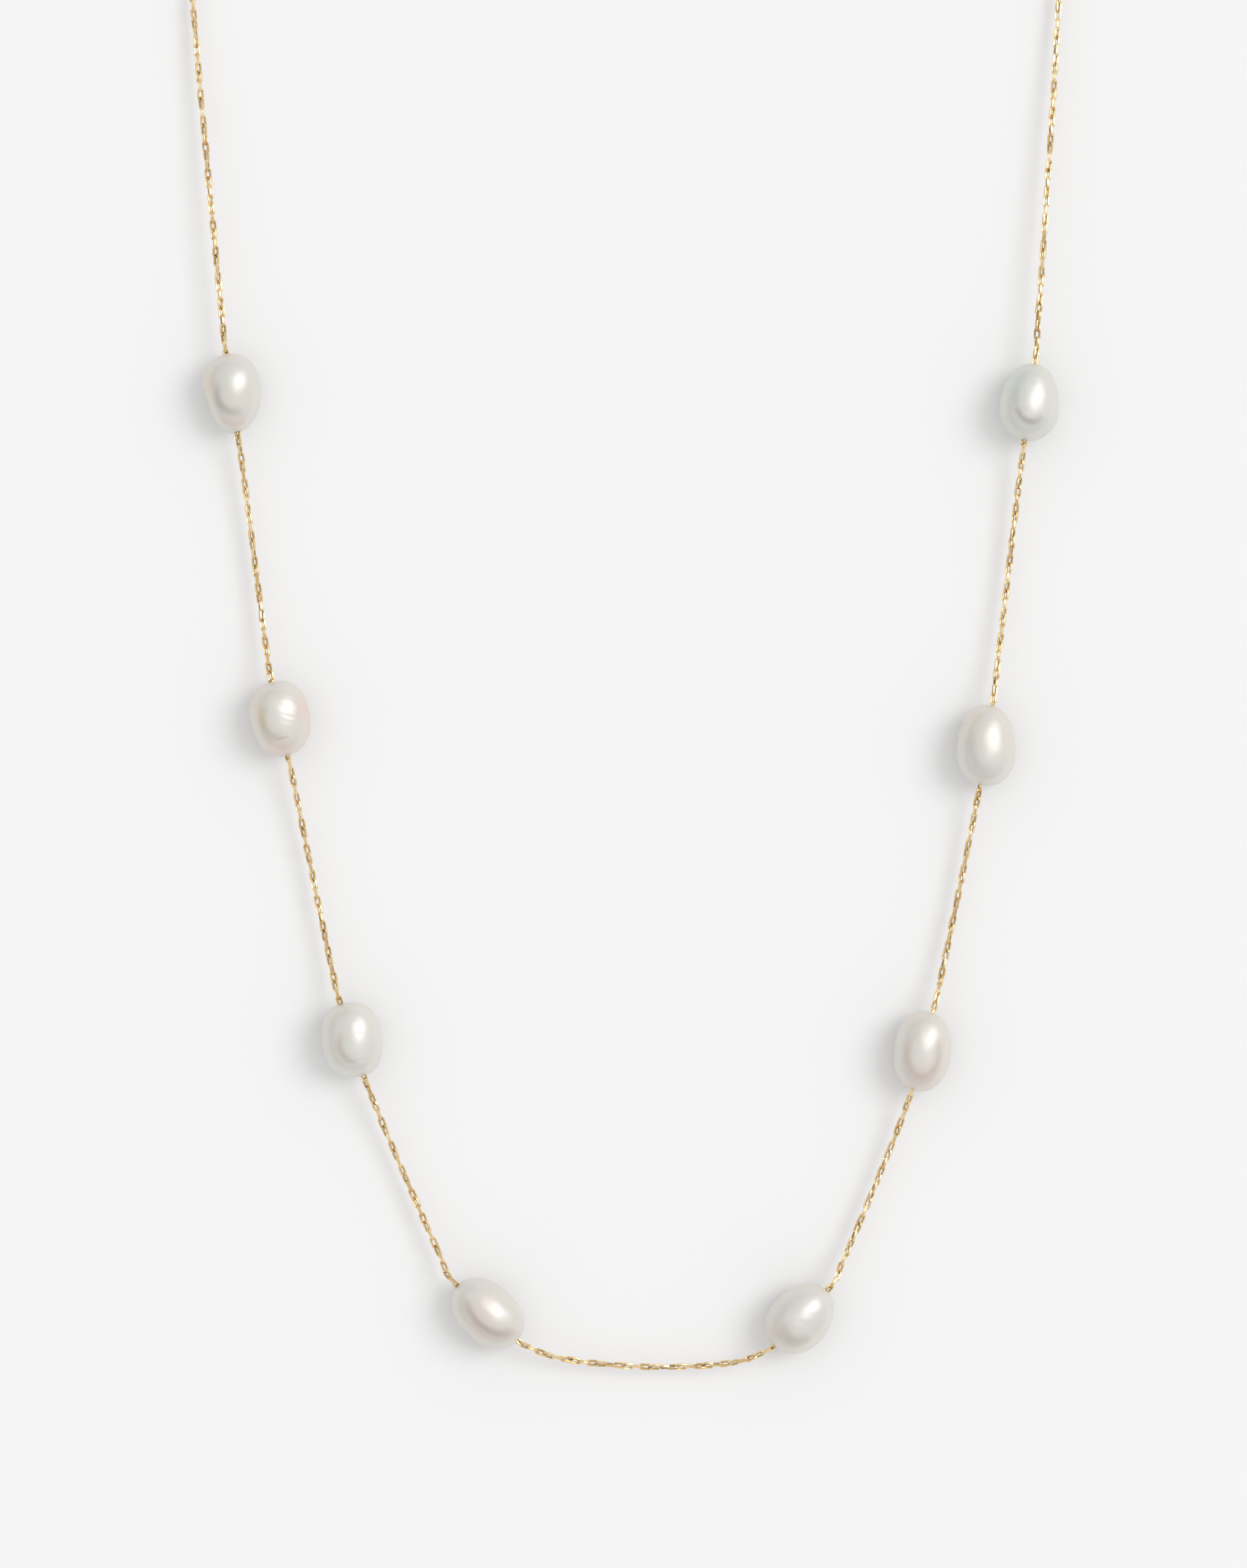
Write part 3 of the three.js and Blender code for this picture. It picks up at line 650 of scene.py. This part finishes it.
def makeLink():
    half = chain["pitch"] / 2 + chain["wire"] + chain["slack"] / 2
    bow = (chain["width"] - chain["wire"]) / 2
    straight = half - chain["wire"] / 2 - bow
    bm = bmesh.new()
    stand = Matrix.Translation((straight, -bow, 0)) @ Matrix.Rotation(math.pi / 2, 4, "Y")
    made = bmesh.ops.create_circle(bm, segments=chain["wireSides"], radius=chain["wire"] / 2,
                                   matrix=stand @ Matrix.Rotation(math.pi / 6, 4, "Z"))
    bmesh.ops.scale(bm, vec=(1, 1, chain["flat"]), verts=made["verts"])
    ring = bm.verts[:] + bm.edges[:]
    first = [e for e in bm.edges]
    turned = bmesh.ops.spin(bm, geom=ring, cent=(straight, 0, 0), axis=(0, 0, 1),
                            angle=math.pi, steps=chain["bowSteps"])["geom_last"]
    carried = bmesh.ops.extrude_edge_only(
        bm, edges=[g for g in turned if isinstance(g, bmesh.types.BMEdge)])["geom"]
    bmesh.ops.translate(bm, vec=(-2 * straight, 0, 0),
                        verts=[g for g in carried if isinstance(g, bmesh.types.BMVert)])
    ring = [g for g in carried if not isinstance(g, bmesh.types.BMFace)]
    turned = bmesh.ops.spin(bm, geom=ring, cent=(-straight, 0, 0), axis=(0, 0, 1),
                            angle=math.pi, steps=chain["bowSteps"])["geom_last"]
    bmesh.ops.bridge_loops(
        bm, edges=first + [g for g in turned if isinstance(g, bmesh.types.BMEdge)])
    bmesh.ops.recalc_face_normals(bm, faces=bm.faces[:])
    # share of the painted shade, full on the inner side of the wire
    recessShade = []
    for vertex in bm.verts:
        beyond = max(0, abs(vertex.co.x) - straight)
        off = bow - math.hypot(beyond, vertex.co.y)
        recessShade.append(min(1, max(0, off / chain["recessShade"])))
    link = bpy.data.meshes.new("link")
    bm.to_mesh(link)
    bm.free()
    return link, recessShade


link, linkRecessShade = makeLink()


def routeOf(node, start, end):
    # middles of the chain's sections, with the run's true ends before and after them
    points = nodePoints(node)
    along = (end - start).normalized()
    points.sort(key=lambda point: (point - start).dot(along))
    sides = chain["sectionSides"]
    rings = [points[i:i + sides] for i in range(0, len(points), sides)]
    middles = [sum(ring, Vector()) / len(ring) for ring in rings]
    held = [m for m in middles if min((m - start).length, (m - end).length) > chain["clear"]]
    return [start, *held, end]


def smoothRoute(points):
    route = []
    held = [2 * points[0] - points[1], *points, 2 * points[-1] - points[-2]]
    for a, b, c, d in zip(held, held[1:], held[2:], held[3:]):
        count = max(2, math.ceil((c - b).length / chain["routeStep"]))
        for i in range(count):
            t = i / count
            route.append(0.5 * (2 * b + (c - a) * t + (2 * a - 5 * b + 4 * c - d) * t * t
                                + (3 * b - a - 3 * c + d) * t ** 3))
    route.append(points[-1].copy())
    return route


def makeRun(node, start, end, offset=0, holdsRing=False):
    route = smoothRoute(routeOf(node, start, end))
    walked = [0]
    for a, b in zip(route, route[1:]):
        walked.append(walked[-1] + (b - a).length)
    count = round(walked[-1] / chain["pitch"])
    pitch = walked[-1] / count

    def at(distance):
        return Vector([float(numpy.interp(distance, walked, [p[i] for p in route]))
                       for i in range(3)])

    bm = bmesh.new()
    for i in range(count):
        here = at((i + 0.5) * pitch)
        tangent = (at((i + 1) * pitch) - at(i * pitch)).normalized()
        across = up.cross(tangent).normalized()
        rise = tangent.cross(across)
        basis = Matrix((tangent, across, rise)).transposed().to_4x4()
        turn = chain["firstTurn"] + chain["turn"] * (i + offset)
        place = here / chain["wander"]
        turn += chain["uneven"] * noise.noise(place)
        lean = chain["tilt"] * noise.noise(place + up * chain["otherNoise"])
        tilt = Matrix.Rotation(math.radians(lean), 4, "Z")
        roll = tilt @ Matrix.Rotation(math.radians(turn), 4, "X")
        wide = chain["endWidth"] if holdsRing and i == count - 1 else 1
        size = Matrix.Diagonal((pitch / chain["pitch"], wide, 1, 1))
        known = len(bm.verts)
        bm.from_mesh(link)
        bm.verts.ensure_lookup_table()
        bmesh.ops.transform(bm, matrix=Matrix.Translation(here) @ basis @ roll @ size,
                            verts=bm.verts[known:])
    piece = pieceFrom(bm, f"links_{node[6:]}", chainGold, chain["sharp"])
    # painted shade on the inner faces of the links
    inner = piece.data.attributes.new("recessShade", "FLOAT", "POINT")
    inner.data.foreach_set("value", linkRecessShade * count)
    standFor(piece, node)
    return count


def ringMiddle(node):
    low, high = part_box(node)
    return (low + high) / 2


def makeChain():
    count = makeRun("chain_bottom", jointAt["left_1_bend"], jointAt["right_1_bend"])
    for side in ("left", "right"):
        walkedLinks = 0
        for i in range(1, chain["runs"] + 1):
            start = jointAt[f"{side}_{i}_bend"]
            last = i == chain["runs"]
            if last:
                ring = ringMiddle(f"end_link_{side}")
                way = (ring - start).normalized()
                end = ring - way * (chain["clear"] - chain["endGrip"])
            else:
                end = jointAt[f"{side}_{i + 1}_bend"]
            walkedLinks += makeRun(f"chain_{side}_{i}", start, end, walkedLinks, last)
        count += walkedLinks
    print("chain made:", count, "links")


makeChain()
bpy.data.meshes.remove(link)


# Rings at both ends, drawn from round wire

ringWire = {"around": 48, "sides": 16, "weld": 0.001 * mm}


def makeRing(node):
    points = nodePoints(node)
    middle = sum(points, Vector()) / len(points)
    cloud = numpy.array([point - middle for point in points])
    axis = Vector(numpy.linalg.svd(cloud, full_matrices=False)[2][2])
    wire = max(p.dot(axis) for p in points) - min(p.dot(axis) for p in points)
    outer = max((p - middle).length for p in points)
    bm = bmesh.new()
    stand = Matrix.Translation((outer - wire / 2, 0, 0)) @ Matrix.Rotation(math.pi / 2, 4, "X")
    bmesh.ops.create_circle(bm, segments=ringWire["sides"], radius=wire / 2, matrix=stand)
    bmesh.ops.spin(bm, geom=bm.verts[:] + bm.edges[:], cent=(0, 0, 0), axis=(0, 0, 1),
                   angle=2 * math.pi, steps=ringWire["around"], use_merge=True)
    turn = axis.to_track_quat("Z", "Y").to_matrix().to_4x4()
    bmesh.ops.transform(bm, matrix=Matrix.Translation(middle) @ turn, verts=bm.verts[:])
    bmesh.ops.remove_doubles(bm, verts=bm.verts[:], dist=ringWire["weld"])
    bmesh.ops.recalc_face_normals(bm, faces=bm.faces[:])
    piece = pieceFrom(bm, f"{node}_wire", claspGold)
    standFor(piece, node)


for ringNode in ("end_link_left", "end_link_right", "jump_ring_left", "jump_ring_right",
                 "catch_ring"):
    makeRing(ringNode)
print("rings made")


# Clasp: cast claw and lever with softened edges, a riveted pin and a bright spring

clasp = {
    "edge": 0.05 * mm,
    "edgeFrom": 38,            # softened above this angle, degrees
    "flatten": 1,              # joined into one face below this angle
    "weld": 0.0005 * mm,
    "sharp": 35,
}

claspPieces = {"clasp_claw": "claw_casting", "clasp_lever": "lever_casting",
               "clasp_rivet": "rivet_pin"}


def makeCasting(node, name):
    bm = bmesh.new()
    bm.from_mesh(frame["nodes"][node].data)
    bmesh.ops.remove_doubles(bm, verts=bm.verts[:], dist=clasp["weld"])
    bmesh.ops.recalc_face_normals(bm, faces=bm.faces[:])
    bmesh.ops.dissolve_limit(bm, angle_limit=math.radians(clasp["flatten"]), verts=bm.verts[:],
                             edges=bm.edges[:])
    edges = [e for e in bm.edges if e.is_manifold
             and e.calc_face_angle(0) > math.radians(clasp["edgeFrom"])]
    bmesh.ops.bevel(bm, geom=edges, offset=clasp["edge"], affect="EDGES", segments=2,
                    profile=0.5, material=-1, clamp_overlap=True)
    bmesh.ops.triangulate(bm, faces=[f for f in bm.faces if len(f.verts) > 4])
    piece = pieceFrom(bm, name, claspGold, clasp["sharp"])
    standFor(piece, node)


for claspNode, castName in claspPieces.items():
    makeCasting(claspNode, castName)


steel = {
    "grain": 1800,
    "spread": (0.3, 0.7),
    "tone": (0.45, 0.68),
    "rough": (0.22, 0.4),
}


def makeSteel():
    material, tree, shader = newMaterial("springSteel")
    place = tree.nodes.new("ShaderNodeTexCoord").outputs["Object"]
    drawn = makeNoise(tree, 3, place, steel["grain"])
    tone = makeRamp(tree, drawn, zip(steel["spread"], steel["tone"]))
    rough = makeRamp(tree, drawn, zip(steel["spread"], steel["rough"]))
    tree.links.new(tone, shader.inputs["Base Color"])
    tree.links.new(rough, shader.inputs["Roughness"])
    shader.inputs["Metallic"].default_value = 1
    return material


def giveMaterial(node, material):
    mesh = frame["nodes"][node].data
    mesh.materials.clear()
    mesh.materials.append(material)


giveMaterial("clasp_spring", makeSteel())
for number in range(1, len(pearls) + 1):
    giveMaterial(f"sleeve_{number}", claspGold)
print("clasp made")


# Floor, light and what surrounds them

studio = {
    "floor": 3.0,              # half its side, metres
    "floorTone": (0.8, 0.8, 0.8, 1),
    "floorRough": 0.9,
    "floorGloss": 0.1,
    "keyFrom": (20, 37),       # degrees round from the right, degrees from straight above
    "keyAngle": 33,
    "keyStrength": 0.95,
    "boxes": {                 # degrees round, degrees from above, width, height, brightness
        "softbox": (32, 36, 0.55, 0.9, 1.45),
        "lamp": (34, 37, 0.22, 0.46, 2.1),
    },
    "boxAway": 0.8,
    "fill": 0.905,             # light from all round
    "overhead": 0.7,           # what the gloss mirrors straight above
    "horizon": 0.3,            # and at the height of the table, away from the softbox
    "openSide": 0.68,          # and on the softbox's side
    "openFrom": (0, 0.75),     # how far round towards it the change runs
    "overheadFrom": (0.1, 0.5),
}


def fromAbove(place):
    turn, fall = (math.radians(value) for value in place)
    return Vector((math.cos(turn) * math.sin(fall), math.sin(turn) * math.sin(fall),
                   math.cos(fall)))


def makeStudio():
    material, tree, shader = newMaterial("paleTable")
    shader.inputs["Base Color"].default_value = studio["floorTone"]
    shader.inputs["Roughness"].default_value = studio["floorRough"]
    shader.inputs["Specular IOR Level"].default_value = studio["floorGloss"]
    bm = bmesh.new()
    bmesh.ops.create_grid(bm, x_segments=1, y_segments=1, size=studio["floor"])
    mesh = bpy.data.meshes.new("floor")
    bm.to_mesh(mesh)
    bm.free()
    mesh.materials.append(material)
    floor = bpy.data.objects.new("floor", mesh)
    bpy.context.scene.collection.objects.link(floor)

    key = bpy.data.lights.new("key", "SUN")
    key.angle = math.radians(studio["keyAngle"])
    key.energy = studio["keyStrength"]
    keyLamp = bpy.data.objects.new("key", key)
    keyLamp.rotation_euler = fromAbove(studio["keyFrom"]).to_track_quat("Z", "Y").to_euler()
    keyLamp.visible_glossy = False
    bpy.context.scene.collection.objects.link(keyLamp)

    middle = Vector(cadBox[0] + cadBox[1]) / 2
    for name, (turn, fall, wide, tall, bright) in studio["boxes"].items():
        soft = bpy.data.lights.new(name, "AREA")
        soft.shape = "RECTANGLE"
        soft.size, soft.size_y = wide, tall
        soft.energy = bright * math.pi * wide * tall
        lamp = bpy.data.objects.new(name, soft)
        way = fromAbove((turn, fall))
        lamp.location = middle + way * studio["boxAway"]
        lamp.rotation_euler = way.to_track_quat("Z", "Y").to_euler()
        lamp.visible_diffuse = False
        bpy.context.scene.collection.objects.link(lamp)

    world = bpy.data.worlds.new("room")
    world.use_nodes = True
    tree = world.node_tree
    tree.nodes.clear()
    out = tree.nodes.new("ShaderNodeOutputWorld")
    fill = tree.nodes.new("ShaderNodeBackground")
    room = tree.nodes.new("ShaderNodeBackground")
    pick = tree.nodes.new("ShaderNodeMixShader")
    ray = tree.nodes.new("ShaderNodeLightPath")
    fill.inputs["Color"].default_value = (studio["fill"], studio["fill"], studio["fill"], 1)
    place = tree.nodes.new("ShaderNodeTexCoord").outputs["Generated"]
    parts = tree.nodes.new("ShaderNodeSeparateXYZ")
    towards = tree.nodes.new("ShaderNodeVectorMath")
    towards.operation = "DOT_PRODUCT"
    towards.inputs[1].default_value = heading(studio["boxes"]["softbox"][0])
    tree.links.new(place, parts.inputs["Vector"])
    tree.links.new(place, towards.inputs[0])
    low = makeRamp(tree, towards.outputs["Value"],
                   zip(studio["openFrom"], (studio["horizon"], studio["openSide"])))
    high = makeRamp(tree, parts.outputs["Z"], zip(studio["overheadFrom"], (0, 1)))
    above = (studio["overhead"], studio["overhead"], studio["overhead"], 1)
    tree.links.new(mixColours(tree, high, low, above), room.inputs["Color"])
    tree.links.new(ray.outputs["Is Glossy Ray"], pick.inputs["Fac"])
    tree.links.new(fill.outputs["Background"], pick.inputs[1])
    tree.links.new(room.outputs["Background"], pick.inputs[2])
    tree.links.new(pick.outputs["Shader"], out.inputs["Surface"])
    bpy.context.scene.world = world
    bpy.context.scene.view_settings.view_transform = "Standard"


makeStudio()
print("studio made")
